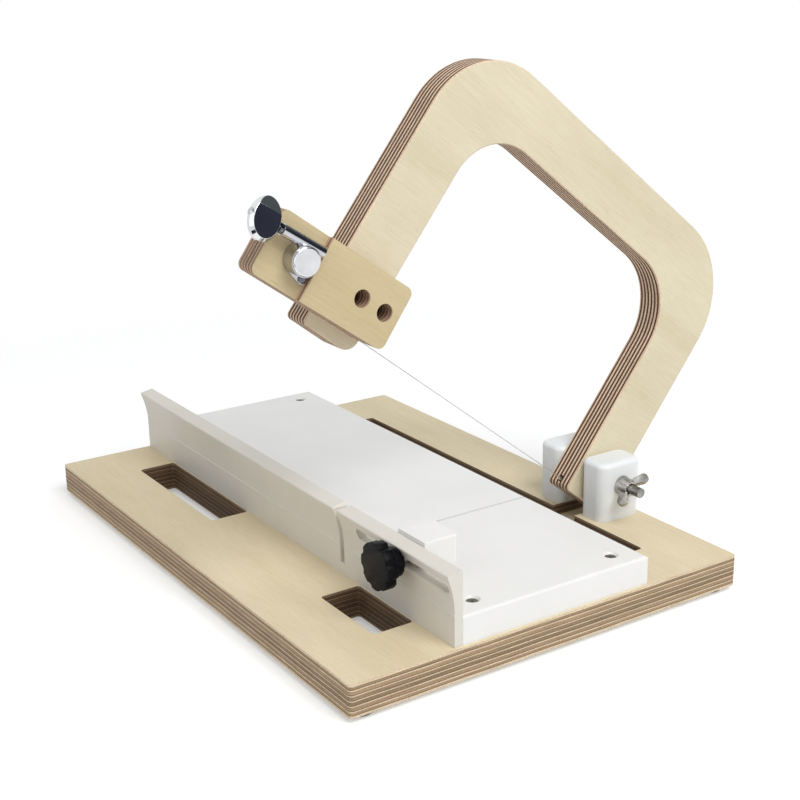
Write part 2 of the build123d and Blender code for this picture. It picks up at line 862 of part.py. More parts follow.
def make_wire():
    """Return the wire: straight through both limbs, bent up to the post and wound on it."""
    radius = wire_diameter / 2
    turn_radius = post_waist_diameter / 2 + seat_gap + radius
    tilt = math.radians(tuner_block_tilt)
    post_y = limb_centre + post_place * math.cos(tilt)
    post_z = tuner_block_rise + post_place * math.sin(tilt)
    start_y = limb_half - anchor_bore_depth + seat_gap
    bend_y = bow_front - wire_bend_outside
    to_post_y = post_y - bend_y
    to_post_z = post_z + wire_drop
    distance = math.hypot(to_post_y, to_post_z)
    direction = math.atan2(to_post_z, to_post_y) + math.asin(turn_radius / distance)
    tangent_length = math.sqrt(distance**2 - turn_radius**2)
    contact_y = bend_y + tangent_length * math.cos(direction)
    contact_z = -wire_drop + tangent_length * math.sin(direction)
    run = FilletPolyline(
        (wire_plane, start_y, -wire_drop),
        (wire_plane, bend_y, -wire_drop),
        (wire_plane, contact_y, contact_z),
        radius=wire_bend_radius,
    )
    first_angle = math.atan2(contact_z - post_z, contact_y - post_y)

    def on_winding(turn):
        angle = first_angle - 2 * math.pi * turn
        return (
            wire_plane + winding_pitch * turn,
            post_y + turn_radius * math.cos(angle),
            post_z + turn_radius * math.sin(angle),
        )

    quarters = [
        ThreePointArc(on_winding(i / 4), on_winding((i + 1 / 2) / 4), on_winding((i + 1) / 4))
        for i in range(4 * winding_turns)
    ]
    route = Wire([*run.edges(), *[quarter.edge() for quarter in quarters]])
    wire = sweep(Plane(route @ 0, z_dir=route % 0) * Circle(radius), path=route)
    print("wire volume", round(wire.volume, 2))
    print("section times length", round(math.pi * radius**2 * route.length, 2))
    print("gap between turns", round(winding_pitch - wire_diameter, 2))
    return wire


bow_pieces = {
    "bow_frame": make_bow(),
    "tuner_block": make_tuner_block(),
    "tuner_block_screws": [
        place * pan_screw(
            clamp_screw_length, clamp_screw_diameter, clamp_screw_head_diameter, clamp_screw_head_height
        )
        for place in clamp_screw_places()
    ],
    "wire_anchor": make_wire_anchor(),
    "cutting_wire": make_wire(),
}

machine_pieces = {
    "tuner_housing": make_tuner_housing(),
    "tuner_cover": make_tuner_cover(),
    "tuner_gear": make_tuner_gear(),
    "tuner_gear_screw": Pos(0, 0, worm_height + gear_thickness / 2) * pan_screw(
        gear_screw_length, gear_screw_diameter, gear_screw_head_diameter, gear_screw_head_height
    ),
    "tuner_post": make_tuner_post(),
    "tuner_worm_shaft": make_worm_shaft(),
    "tuner_button": make_tuner_button(),
    "tuner_button_screw": make_button_screw(),
    "tuner_bush": make_bush(),
    "tuner_washer": make_washer(),
    "tuner_ear_screw": ear_screw_place() * pan_screw(
        ear_screw_length, ear_screw_diameter, ear_screw_head_diameter, ear_screw_head_height
    ),
}

pieces = {
    "base_board": make_base_board(),
    "rubber_feet": make_feet(),
    "cutting_bed": make_bed(),
    "bed_screws": [
        place * countersunk_screw(
            bed_screw_length, bed_screw_diameter, bed_screw_head_diameter, bed_screw_head_height
        )
        for place in bed_screw_places()
    ],
    "fence": make_fence(),
    "stop_block": make_stop_block(),
    "knob_stud": make_stud(),
    "star_knob": make_knob(),
    "pivot_block_left": make_hinge_block(-1),
    "pivot_block_right": make_hinge_block(1),
    "pivot_block_screws": [
        place * countersunk_screw(
            block_screw_length, block_screw_diameter, block_screw_head_diameter, block_screw_head_height
        )
        for place in block_screw_places()
    ],
    "pivot_bolt": make_pivot_bolt(),
    "wing_nut": make_wing_nut(),
}

for name, shape in machine_pieces.items():
    bow_pieces[name] = machine_place * shape
for name, shape in bow_pieces.items():
    pieces[name] = [bow_place * item for item in shape] if isinstance(shape, list) else bow_place * shape

for name, shape in pieces.items():
    solids = shape if isinstance(shape, list) else [shape]
    parts = [solid for item in solids for solid in item.solids()]
    export_step(Compound(label=name, children=parts), f"parts/{name}.step")

heel_reach = bow_length - limb_half - limb_width
closed_tilt = math.degrees(math.asin((front_limb_drop - pivot_height) / heel_reach))
print("hinge range", round(closed_tilt - raised_tilt, 2), round(opened_tilt - raised_tilt, 2))
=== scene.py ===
"""Wire soap cutter: finishes, fine pieces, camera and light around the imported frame."""

import logging
import math
from collections import defaultdict
from collections.abc import Callable, Iterable
from dataclasses import dataclass
from enum import Enum
from typing import ClassVar

import bpy
from mathutils import Matrix, Quaternion, Vector


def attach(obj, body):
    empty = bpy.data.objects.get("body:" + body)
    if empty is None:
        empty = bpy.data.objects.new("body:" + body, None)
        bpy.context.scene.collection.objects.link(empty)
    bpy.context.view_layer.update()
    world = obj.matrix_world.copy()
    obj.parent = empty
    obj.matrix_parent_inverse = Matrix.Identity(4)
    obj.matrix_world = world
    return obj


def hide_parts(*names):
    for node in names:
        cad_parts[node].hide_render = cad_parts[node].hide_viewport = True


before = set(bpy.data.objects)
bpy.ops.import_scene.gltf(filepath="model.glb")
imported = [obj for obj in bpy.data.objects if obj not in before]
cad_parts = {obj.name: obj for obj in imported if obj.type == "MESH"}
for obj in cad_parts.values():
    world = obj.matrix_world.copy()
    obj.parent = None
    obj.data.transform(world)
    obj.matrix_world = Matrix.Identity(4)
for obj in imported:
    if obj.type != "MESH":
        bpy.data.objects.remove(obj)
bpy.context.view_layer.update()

log = logging.getLogger("soap_cutter")

MM = 0.001
OVERLAP = 0.02 * MM
DOUBLES = 0.002 * MM
ROUND_SHADING = 30.0
FLAT_SHADING = 12.0

Triple = tuple[float, float, float]
Socket = bpy.types.NodeSocket
Piece = bpy.types.Object


@dataclass(frozen=True)
class Noise:
    """Soft noise that may be drawn out along an axis.

    Attributes:
        scale: Spots per metre along each axis.
        detail: Layers of finer noise.
    """

    scale: Triple
    detail: float


class Graph:
    """The node tree of a material or a world, built one node at a time."""

    def __init__(self, owner: bpy.types.Material | bpy.types.World) -> None:
        """Start with an empty tree.

        Args:
            owner: The material or world.
        """
        owner.use_nodes = True
        self.owner = owner
        self.tree = owner.node_tree
        self.tree.nodes.clear()

    def fill(self, socket: Socket, value: object) -> None:
        """Link an input to a socket, or give it a value.

        Args:
            socket: The input.
            value: The socket or value.
        """
        if isinstance(value, Socket):
            self.tree.links.new(value, socket)
        else:
            socket.default_value = value

    def node(
        self, kind: str, inputs: dict[str | int, object] | None = None, **settings: object
    ) -> bpy.types.Node:
        """Add a node.

        Args:
            kind: Blender's type name of the node, without the ShaderNode in front.
            inputs: Values or sockets for its inputs, by name or number.
            **settings: Properties of the node.

        Returns:
            The new node.
        """
        node = self.tree.nodes.new("ShaderNode" + kind)
        for key, value in settings.items():
            setattr(node, key, value)
        for key, value in (inputs or {}).items():
            self.fill(node.inputs[key], value)
        return node

    def math(self, operation: str, *values: float | Socket) -> Socket:
        """Work out a number from numbers or sockets.

        Args:
            operation: Name of the operation.
            *values: Its numbers or sockets.

        Returns:
            The result's socket.
        """
        return self.node("Math", dict(enumerate(values)), operation=operation).outputs[0]

    def place(self) -> Socket:
        """Return the place on the object, in metres."""
        return self.node("TexCoord").outputs["Object"]

    def noise(self, at: Socket, kind: Noise) -> Socket:
        """Add noise.

        Args:
            at: Place to read it at.
            kind: Its scale and detail.

        Returns:
            The noise's socket, from nought to one.
        """
        stretched = self.node("Mapping", {"Vector": at, "Scale": kind.scale}).outputs[0]
        inputs = {"Vector": stretched, "Scale": 1.0, "Detail": kind.detail}
        return self.node("TexNoise", inputs).outputs["Fac"]

    def ramp(self, factor: Socket, stops: list[tuple[float, Triple]]) -> Socket:
        """Turn a number into a colour.

        Args:
            factor: The number.
            stops: Places and colours of the ramp.

        Returns:
            The colour's socket.
        """
        node = self.node("ValToRGB", {"Fac": factor})
        elements = node.color_ramp.elements
        while len(elements) < len(stops):
            elements.new(1.0)
        for element, (place, colour) in zip(elements, stops):
            element.position = place
            element.color = (*colour, 1.0)
        return node.outputs["Color"]

    def spread(
        self, value: Socket, low: float, high: float, to_low: float, to_high: float
    ) -> Socket:
        """Move a number from one range to another, held inside it.

        Args:
            value: The number.
            low: Where the first range starts.
            high: Where the first range ends.
            to_low: Where the second range starts.
            to_high: Where the second range ends.

        Returns:
            The result's socket.
        """
        inputs = dict(enumerate((value, low, high, to_low, to_high)))
        return self.node("MapRange", inputs).outputs[0]

    def mix(
        self, share: float | Socket, first: Socket, second: Triple | Socket, blend: str = "MIX"
    ) -> Socket:
        """Mix two colours.

        Args:
            share: Share of the second colour.
            first: First colour.
            second: Second colour.
            blend: Way of mixing.

        Returns:
            The colour's socket.
        """
        node = self.node("Mix", data_type="RGBA", blend_type=blend)
        sockets = {socket.identifier: socket for socket in node.inputs}
        self.fill(sockets["Factor_Float"], share)
        self.fill(sockets["A_Color"], first)
        self.fill(sockets["B_Color"], (*second, 1.0) if isinstance(second, tuple) else second)
        return next(s for s in node.outputs if s.identifier == "Result_Color")

    def bump(self, height: Socket, depth: float, strength: float) -> Socket:
        """Turn a height into a normal.

        Args:
            height: Height from nought to one.
            depth: How deep one is, in metres.
            strength: Share of it that shows.

        Returns:
            The normal's socket.
        """
        inputs = {"Height": height, "Distance": depth, "Strength": strength}
        return self.node("Bump", inputs).outputs[0]

    def shine(self, kind: str, colour: Triple, strength: float | Socket = 1.0) -> Socket:
        """Add a shader that gives light.

        Args:
            kind: Emission or Background.
            colour: Its colour.
            strength: Its strength.

        Returns:
            The shader's socket.
        """
        return self.node(kind, {"Color": (*colour, 1.0), "Strength": strength}).outputs[0]

    def seen(self) -> Socket:
        """Return one for a look from the camera, in a mirror or through glass, else nought."""
        paths = self.node("LightPath").outputs
        glossy = self.math("MAXIMUM", paths["Is Glossy Ray"], paths["Is Transmission Ray"])
        return self.math("MAXIMUM", paths["Is Camera Ray"], glossy)

    def finish(self, **inputs: object) -> bpy.types.Material:
        """Close the material with one surface shader.

        Args:
            **inputs: Values or sockets of the shader, with _ for each space.

        Returns:
            The finished material.
        """
        named = {key.replace("_", " "): value for key, value in inputs.items()}
        shader = self.node("BsdfPrincipled", named)
        self.node("OutputMaterial", {"Surface": shader.outputs[0]})
        return self.owner


@dataclass(frozen=True)
class Tint:
    """Noise that tints a colour.

    Attributes:
        noise: The noise.
        low: Where its low part ends, and that part's tint.
        high: Where its high part starts, and that part's tint.
    """

    noise: Noise
    low: tuple[float, Triple]
    high: tuple[float, Triple]

    def over(self, graph: Graph, at: Socket, colour: Socket) -> tuple[Socket, Socket]:
        """Tint a colour.

        Args:
            graph: The material's nodes.
            at: Place to read the noise at.
            colour: The colour.

        Returns:
            The tinted colour, and the noise.
        """
        noise = graph.noise(at, self.noise)
        ramp = graph.ramp(noise, [self.low, self.high])
        return graph.mix(1.0, colour, ramp, "MULTIPLY"), noise


class Stack(Enum):
    """Which way a board's plies are stacked."""

    SIDEWAYS = 0
    UPWARDS = 2


@dataclass(frozen=True)
class Plywood:
    """Birch plywood: pale faces with a faint figure, and edges of pale and brown plies.

    Attributes:
        name: Name of the material.
        stack: Which way the plies are stacked.
        start: Where the first ply starts.
        face: Colour of the faces.
        pale: Colour of the pale plies.
        brown: Colour of the brown plies.
        brown_share: How much of a ply the browns take from each neighbour.
        tilt: Angle between the grain and the axes, in degrees.
        line: Colour of a fine line beside each brown ply.
        inner: Half sizes of the part whose edges lie in shade.
    """

    name: str
    stack: Stack
    start: float
    face: Triple
    pale: Triple
    brown: Triple
    brown_share: float
    tilt: float = 0.0
    line: Triple | None = None
    inner: tuple[float, float] | None = None

    # The board, how far borders between plies blend, and how its browns differ.
    THICKNESS: ClassVar[float] = 18 * MM
    PLIES: ClassVar[int] = 13
    BLEND: ClassVar[float] = 0.12
    LINE_BLEND: ClassVar[float] = 3.2
    OUTER_SHARE: ClassVar[float] = 0.7
    TONE_SWING: ClassVar[float] = 0.22
    TONE_STEP: ClassVar[float] = 2.3
    # Shade on the inner edges, and the faces' flame from deep to light.
    INNER_SHADE: ClassVar[Triple] = (0.36, 0.36 * 0.86, 0.36 * 0.76)
    DEEP_FACE: ClassVar[Triple] = (0.955, 0.94, 0.91)
    LIGHT_FACE: ClassVar[float] = 1.03
    FLAME_STOPS: ClassVar[Triple] = (0.34, 0.5, 0.68)
    # Noises of the plies' waver, of the edges and of the faces.
    WOBBLE: ClassVar[Noise] = Noise((28.0, 28.0, 0.0), 1.0)
    WOBBLE_DEPTH: ClassVar[float] = 0.5 * MM
    FLAME: ClassVar[Noise] = Noise((5.0, 42.0, 120.0), 3.0)
    FIBRES: ClassVar[Tint] = Tint(
        Noise((900.0, 900.0, 2600.0), 2.0), (0.3, (0.72, 0.72, 0.72)), (0.7, (1.2, 1.2, 1.2))
    )
    RUNS: ClassVar[Tint] = Tint(
        Noise((55.0, 55.0, 1400.0), 2.0), (0.3, (0.8, 0.78, 0.76)), (0.7, (1.12, 1.12, 1.12))
    )
    GRAIN: ClassVar[Tint] = Tint(
        Noise((60.0, 1500.0, 900.0), 3.0), (0.3, (0.94, 0.93, 0.91)), (0.65, (1.02, 1.02, 1.02))
    )
    FLECKS: ClassVar[Tint] = Tint(
        Noise((170.0, 2400.0, 1500.0), 1.0), (0.22, (0.78, 0.7, 0.6)), (0.31, (1.0, 1.0, 1.0))
    )
    CLOUD: ClassVar[Tint] = Tint(
        Noise((14.0, 22.0, 60.0), 2.0), (0.3, (0.955, 0.95, 0.935)), (0.7, (1.02, 1.02, 1.02))
    )
    # How squarely a face looks along the stack, and how its surface takes light.
    FACE_FROM: ClassVar[float] = 0.8
    FACE_FULL: ClassVar[float] = 0.96
    EDGE_ROUGHNESS: ClassVar[float] = 0.72
    FACE_ROUGHNESS: ClassVar[float] = 0.52
    MIRROR: ClassVar[float] = 0.35
    GRAIN_HEIGHT: ClassVar[float] = 0.6
    FIBRE_HEIGHT: ClassVar[float] = 0.5
    RELIEF: ClassVar[float] = 0.12 * MM
    RELIEF_SHARE: ClassVar[float] = 0.5

    def stops(self) -> list[tuple[float, Triple]]:
        """Return the colours through the thickness, ply by ply."""
        pitch = 1 / self.PLIES
        blend = self.BLEND * pitch
        first, last = 1, self.PLIES - 2
        stops = [(0.0, self.pale)]
        for ply in range(first, self.PLIES, 2):
            share = self.brown_share * (self.OUTER_SHARE if ply in (first, last) else 1.0)
            tone = 1.0 + self.TONE_SWING * math.sin(self.TONE_STEP * ply)
            brown = tuple(part * tone for part in self.brown)
            low = (ply - share * (ply != first)) * pitch
            high = (ply + 1 + share * (ply != last)) * pitch
            stops.append((low - blend, self.pale))
            if self.line:
                stops.append((low + blend, self.line))
                stops.append((low + self.LINE_BLEND * blend, brown))
            else:
                stops.append((low + blend, brown))
            stops.append((high - blend, brown))
            stops.append((high + blend, self.pale))
        return stops

    def edges(
        self, graph: Graph, parts: bpy.types.NodeOutputs, at: Socket
    ) -> tuple[Socket, Socket]:
        """Colour the edges.

        Args:
            graph: The material's nodes.
            parts: X, Y and Z of the place on the board.
            at: The place along the grain, across it and through the board.

        Returns:
            The edges' colour, and the noise of their fibres.
        """
        depth = graph.node("SeparateXYZ", {0: at}).outputs[2]
        wobble = graph.noise(at, self.WOBBLE)
        ripple = graph.math("MULTIPLY_ADD", wobble, self.WOBBLE_DEPTH, -self.WOBBLE_DEPTH / 2)
        level = graph.math("DIVIDE", graph.math("ADD", depth, ripple), self.THICKNESS)
        edge, fibres = self.FIBRES.over(graph, at, graph.ramp(level, self.stops()))
        edge, _ = self.RUNS.over(graph, at, edge)
        if self.inner:
            sides = [
                graph.math("LESS_THAN", graph.math("ABSOLUTE", part), limit)
                for part, limit in zip(parts, self.inner)
            ]
            dark = graph.mix(1.0, edge, self.INNER_SHADE, "MULTIPLY")
            edge = graph.mix(graph.math("MULTIPLY", *sides), edge, dark)
        return edge, fibres

    def faces(self, graph: Graph, at: Socket) -> tuple[Socket, Socket]:
        """Colour the faces.

        Args:
            graph: The material's nodes.
            at: The place along the grain, across it and through the board.

        Returns:
            The faces' colour, and the noise of their grain.
        """
        deep = tuple(part * shade for part, shade in zip(self.face, self.DEEP_FACE))
        light = tuple(part * self.LIGHT_FACE for part in self.face)
        stops = list(zip(self.FLAME_STOPS, (deep, self.face, light)))
        figure = graph.ramp(graph.noise(at, self.FLAME), stops)
        figure, grain = self.GRAIN.over(graph, at, figure)
        for tint in (self.FLECKS, self.CLOUD):
            figure, _ = tint.over(graph, at, figure)
        return figure, grain

    def build(self) -> bpy.types.Material:
        """Return the finished material."""
        graph = Graph(bpy.data.materials.new(self.name))
        coordinates = graph.node("TexCoord").outputs
        tilt = (math.radians(self.tilt), 0, 0)
        turned = graph.node("Mapping", {"Vector": coordinates["Object"], "Rotation": tilt})
        parts = graph.node("SeparateXYZ", {0: turned.outputs[0]}).outputs
        along, across = (0, 1) if self.stack is Stack.UPWARDS else (1, 2)
        depth = graph.math("SUBTRACT", parts[self.stack.value], self.start)
        at = graph.node("CombineXYZ", {0: parts[along], 1: parts[across], 2: depth}).outputs[0]

        edge, fibres = self.edges(graph, parts, at)
        figure, grain = self.faces(graph, at)

        normal = graph.node("SeparateXYZ", {0: coordinates["Normal"]}).outputs[self.stack.value]
        facing = graph.math("ABSOLUTE", normal)
        on_face = graph.spread(facing, self.FACE_FROM, self.FACE_FULL, 0.0, 1.0)
        height = graph.math(
            "ADD",
            graph.math("MULTIPLY", grain, self.GRAIN_HEIGHT),
            graph.math("MULTIPLY", fibres, self.FIBRE_HEIGHT),
        )
        return graph.finish(
            Base_Color=graph.mix(on_face, edge, figure),
            Roughness=graph.spread(on_face, 0.0, 1.0, self.EDGE_ROUGHNESS, self.FACE_ROUGHNESS),
            Specular_IOR_Level=self.MIRROR,
            Normal=graph.bump(height, self.RELIEF, self.RELIEF_SHARE),
        )


@dataclass(frozen=True)
class Plastic:
    """Machined or moulded plastic with faint tool marks and scuffs.

    Attributes:
        name: Name of the material.
        colour: Its colour.
        roughness: Its roughness.
        glow: Share of the light that goes into it.
        marks: Depth of the tool marks.
        mottle: How much darker its dark spots are.
        shine: Strength of its mirror image.
    """

    name: str
    colour: Triple
    roughness: float
    glow: float = 0.0
    marks: float = 0.03 * MM
    mottle: float = 0.03
    shine: float = 0.5

    CLOUD: ClassVar[Noise] = Noise((30.0, 30.0, 30.0), 3.0)
    SCUFFS: ClassVar[Noise] = Noise((60.0, 700.0, 700.0), 3.0)
    SPECKS: ClassVar[Noise] = Noise((2500.0, 2500.0, 2500.0), 1.0)
    SPECK_HEIGHT: ClassVar[float] = 0.6
    RELIEF_SHARE: ClassVar[float] = 0.6
    LOW: ClassVar[float] = 0.3
    HIGH: ClassVar[float] = 0.7
    SMOOTHER: ClassVar[float] = 0.06
    ROUGHER: ClassVar[float] = 0.08
    GLOW_DEPTH: ClassVar[Triple] = (4 * MM, 3.6 * MM, 3.2 * MM)

    def build(self) -> bpy.types.Material:
        """Return the finished material."""
        graph = Graph(bpy.data.materials.new(self.name))
        at = graph.place()
        dark = tuple(part * (1 - self.mottle) for part in self.colour)
        stops = [(self.LOW, dark), (self.HIGH, self.colour)]
        scuffs = graph.noise(at, self.SCUFFS)
        specks = graph.math("MULTIPLY", graph.noise(at, self.SPECKS), self.SPECK_HEIGHT)
        height = graph.math("ADD", scuffs, specks)
        smooth, rough = self.roughness - self.SMOOTHER, self.roughness + self.ROUGHER
        return graph.finish(
            Base_Color=graph.ramp(graph.noise(at, self.CLOUD), stops),
            Roughness=graph.spread(scuffs, self.LOW, self.HIGH, smooth, rough),
            Specular_IOR_Level=self.shine,
            Subsurface_Weight=self.glow,
            Subsurface_Radius=self.GLOW_DEPTH,
            Subsurface_Scale=1.0,
            Normal=graph.bump(height, self.marks, self.RELIEF_SHARE),
        )


@dataclass(frozen=True)
class Metal:
    """Plated, cast or drawn metal with smudges and fine marks.

    Attributes:
        name: Name of the material.
        colour: Its colour.
        roughness: Roughness where it is clean.
        smudge: Roughness that smudges add.
        marks: Depth of the marks.
        spots: Marks per metre.
        tarnish: How much darker its dark spots are.
    """

    name: str
    colour: Triple
    roughness: float
    smudge: float = 0.05
    marks: float = 0.01 * MM
    spots: float = 900.0
    tarnish: float = 0.12

    CLOUD: ClassVar[Noise] = Noise((120.0, 120.0, 120.0), 3.0)
    CLOUD_STOPS: ClassVar[tuple[float, float]] = (0.35, 0.65)
    LOW: ClassVar[float] = 0.3
    HIGH: ClassVar[float] = 0.7
    RELIEF_SHARE: ClassVar[float] = 0.5

    def build(self) -> bpy.types.Material:
        """Return the finished material."""
        graph = Graph(bpy.data.materials.new(self.name))
        at = graph.place()
        cloud = graph.noise(at, self.CLOUD)
        dark = tuple(part * (1 - self.tarnish) for part in self.colour)
        spots = graph.noise(at, Noise((self.spots, self.spots, self.spots), 2.0))
        stops = list(zip(self.CLOUD_STOPS, (dark, self.colour)))
        smudged = self.roughness + self.smudge
        return graph.finish(
            Base_Color=graph.ramp(cloud, stops),
            Metallic=1.0,
            Roughness=graph.spread(cloud, self.LOW, self.HIGH, self.roughness, smudged),
            Normal=graph.bump(spots, self.marks, self.RELIEF_SHARE),
        )


class Finish(Enum):
    """Every finish of the cutter."""

    BASE_PLY = Plywood(
        "base plywood",
        Stack.UPWARDS,
        start=3 * MM,
        face=(0.775, 0.67, 0.465),
        pale=(0.78, 0.64, 0.45),
        brown=(0.36, 0.25, 0.15),
        brown_share=0.3,
        line=(0.11, 0.06, 0.033),
        inner=(173 * MM, 122 * MM),
    )
    BOW_PLY = Plywood(
        "bow plywood",
        Stack.SIDEWAYS,
        start=65 * MM,
        face=(0.745, 0.67, 0.495),
        pale=(0.8, 0.6, 0.43),
        brown=(0.075, 0.032, 0.017),
        brown_share=0.02,
        tilt=38.0,
    )
    BLOCK_PLY = Plywood(
        "tuner block plywood",
        Stack.SIDEWAYS,
        start=83 * MM,
        face=(0.605, 0.495, 0.3),
        pale=(0.62, 0.45, 0.32),
        brown=(0.28, 0.175, 0.115),
        brown_share=0.1,
        tilt=35.6,
    )
    BED = Plastic("white bed plastic", (0.87, 0.865, 0.85), 0.42, glow=0.1)
    FENCE = Plastic("fence plastic", (0.74, 0.705, 0.635), 0.42, glow=0.1)
    HINGE = Plastic("milky hinge plastic", (0.84, 0.86, 0.87), 0.45, glow=0.35)
    KNOB = Plastic("black knob plastic", (0.0025, 0.0027, 0.0038), 0.36, mottle=0.2, shine=0.09)
    RUBBER = Plastic("black rubber", (0.02, 0.02, 0.02), 0.75, marks=0.06 * MM, mottle=0.3)
    CHROME = Metal("polished chrome", (0.78, 0.79, 0.81), 0.04, smudge=0.04, marks=0.004 * MM)
    # Same chrome plate as the cover, made darker: painted dark reflection on the housing and
    # button screw.
    DIECAST = Metal("die-cast chrome with painted dark reflection", (0.56, 0.57, 0.6), 0.05, smudge=0.04, marks=0.006 * MM)
    # Near-black chrome: painted shade in the gap between button and barrel, and painted dark
    # reflection on the ear screw.
    SHADED = Metal("chrome with painted shade", (0.16, 0.16, 0.18), 0.1, smudge=0.04, marks=0.006 * MM)
    ZINC = Metal(
        "zinc plate",
        (0.56, 0.545, 0.51),
        0.14,
        smudge=0.14,
        marks=0.1 * MM,
        spots=700.0,
        tarnish=0.6,
    )
    DULL = Metal("dull steel", (0.22, 0.2, 0.17), 0.42, smudge=0.1, marks=0.03 * MM)
    BRASS = Metal("plain brass", (0.74, 0.53, 0.24), 0.25, smudge=0.1)
    WIRE = Metal("drawn wire", (0.72, 0.72, 0.72), 0.3)

    def material(self) -> bpy.types.Material:
        """Return the finish's material, built the first time that it is asked for."""
        return bpy.data.materials.get(self.value.name) or self.value.build()


DRESSED = {
    Finish.BASE_PLY: ("base_board",),
    Finish.BOW_PLY: ("bow_frame",),
    Finish.BLOCK_PLY: ("tuner_block",),
    Finish.BED: ("cutting_bed",),
    Finish.HINGE: ("pivot_block_left", "pivot_block_right"),
    Finish.RUBBER: ("rubber_feet",),
    Finish.CHROME: ("tuner_cover", "tuner_post", "tuner_bush", "tuner_washer"),
    # The housing and button screw take chrome made darker as painted dark reflection.
    Finish.DIECAST: ("tuner_housing", "tuner_button_screw"),
    # The ear screw and worm shaft take near-black chrome: painted shade and painted dark
    # reflection.
    Finish.SHADED: ("tuner_ear_screw", "tuner_worm_shaft"),
    Finish.ZINC: ("pivot_block_screws", "knob_stud", "tuner_gear_screw"),
    Finish.DULL: ("tuner_block_screws",),
    Finish.BRASS: ("tuner_gear", "wire_anchor"),
    Finish.WIRE: ("cutting_wire",),
}


def dress(finish: Finish, nodes: Iterable[str]) -> None:
    """Give nodes of the frame a finish.

    Args:
        finish: The finish.
        nodes: Names of the nodes.
    """
    for name in nodes:
        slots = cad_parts[name].data.materials
        slots.clear()
        slots.append(finish.material())
        log.info("%s dressed in %s", name, finish.value.name)


def corners_of(node: str) -> list[Vector]:
    """Return the corners of a node's mesh.

    Args:
        node: Name of the node.

    Returns:
        The corners, in the frame's place.
    """
    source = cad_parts[node]
    return [source.matrix_world @ vertex.co for vertex in source.data.vertices]


def middle_of(corners: list[Vector]) -> Triple:
    """Return the middle of the box around corners.

    Args:
        corners: The corners.

    Returns:
        The middle.
    """
    return tuple((min(c[i] for c in corners) + max(c[i] for c in corners)) / 2 for i in range(3))


def add_piece(add: Callable[..., set[str]], name: str, **options: object) -> Piece:
    """Add a primitive under a name.

    Args:
        add: Blender's operator for it.
        name: Name of the piece.
        **options: Options of the operator.

    Returns:
        The piece, selected.
    """
    bpy.ops.object.select_all(action="DESELECT")
    add(**options)
    piece = bpy.context.active_object
    piece.name = name
    return piece


def settle() -> None:
    """Put the selected piece's own place back at the origin, unturned and unscaled."""
    bpy.ops.object.transform_apply(location=True, rotation=True, scale=True)


